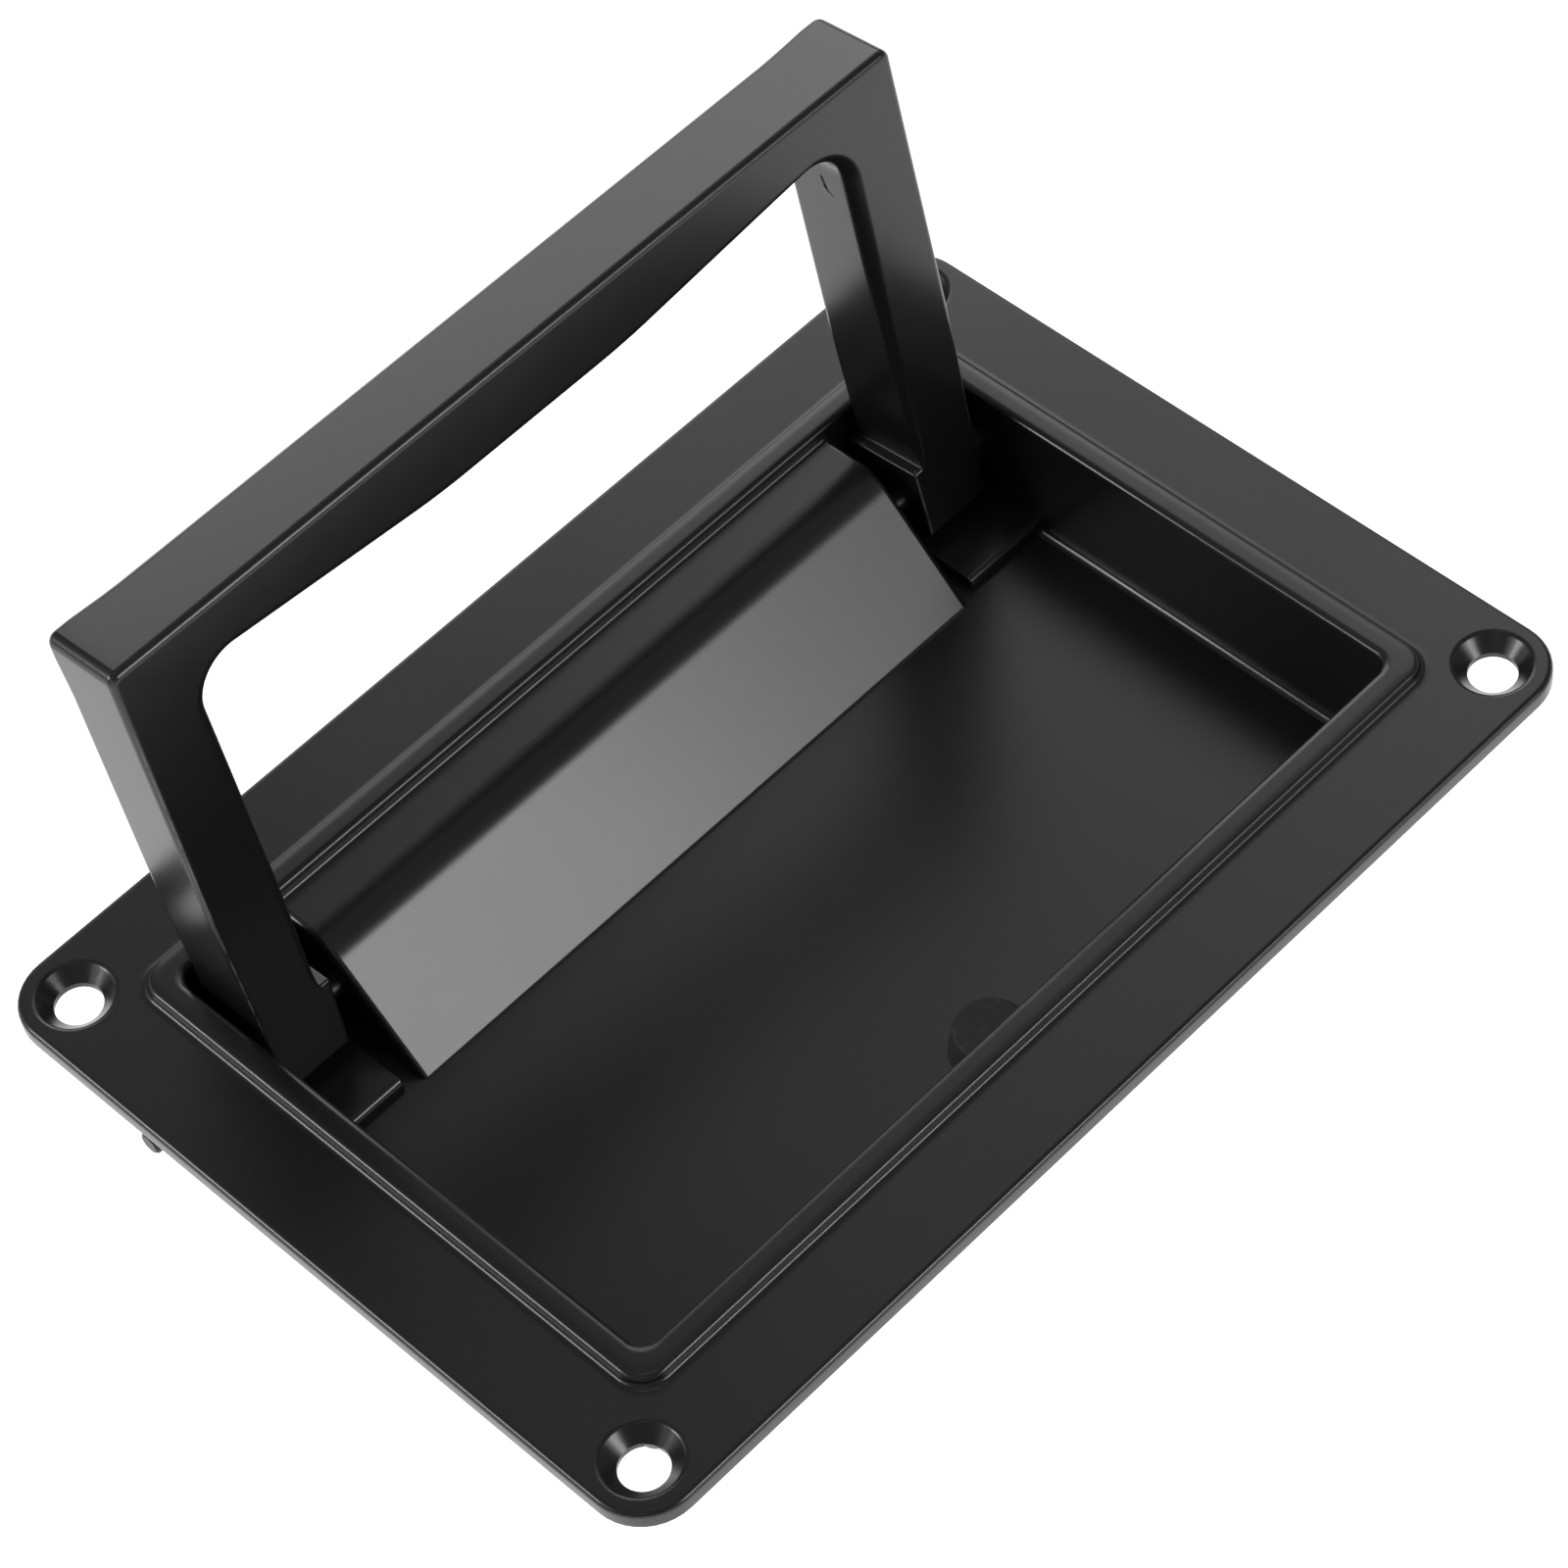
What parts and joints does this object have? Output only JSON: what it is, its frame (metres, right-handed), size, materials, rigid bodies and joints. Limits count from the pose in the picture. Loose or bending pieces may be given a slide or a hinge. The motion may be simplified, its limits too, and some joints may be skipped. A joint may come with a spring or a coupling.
{
  "type": "recessed pull handle",
  "caption": "Black die-cast recessed pull handle: a rectangular tray with a raised rim and countersunk corner screw holes, and a folding bail grip raised on a through pin",
  "frame": {"origin": "centre of the screw pattern, on the flange's underside that lies on the panel", "axes": "+X along the grip, +Y towards the hinge side, +Z out of the panel"},
  "size_m": [0.15, 0.1054, 0.0748],
  "materials": {
    "black_coating": "satin black coating on die-cast metal",
    "plated_steel": "bright zinc plate",
    "pad_rubber": "dull black"
  },
  "bodies": {
    "tray": {"tray": "black_coating", "hinge_pin": "plated_steel", "retaining_ring_left": "plated_steel", "retaining_ring_right": "plated_steel", "bumper_pad": "pad_rubber"},
    "bail": {"bail": "black_coating"}
  },
  "joints": [
    {"name": "bail_fold", "type": "hinge", "parent": "tray", "child": "bail", "pos_m": [0, 0.029, -0.005], "axis": [1, 0, 0], "range_deg": [0, 96]}
  ]
}
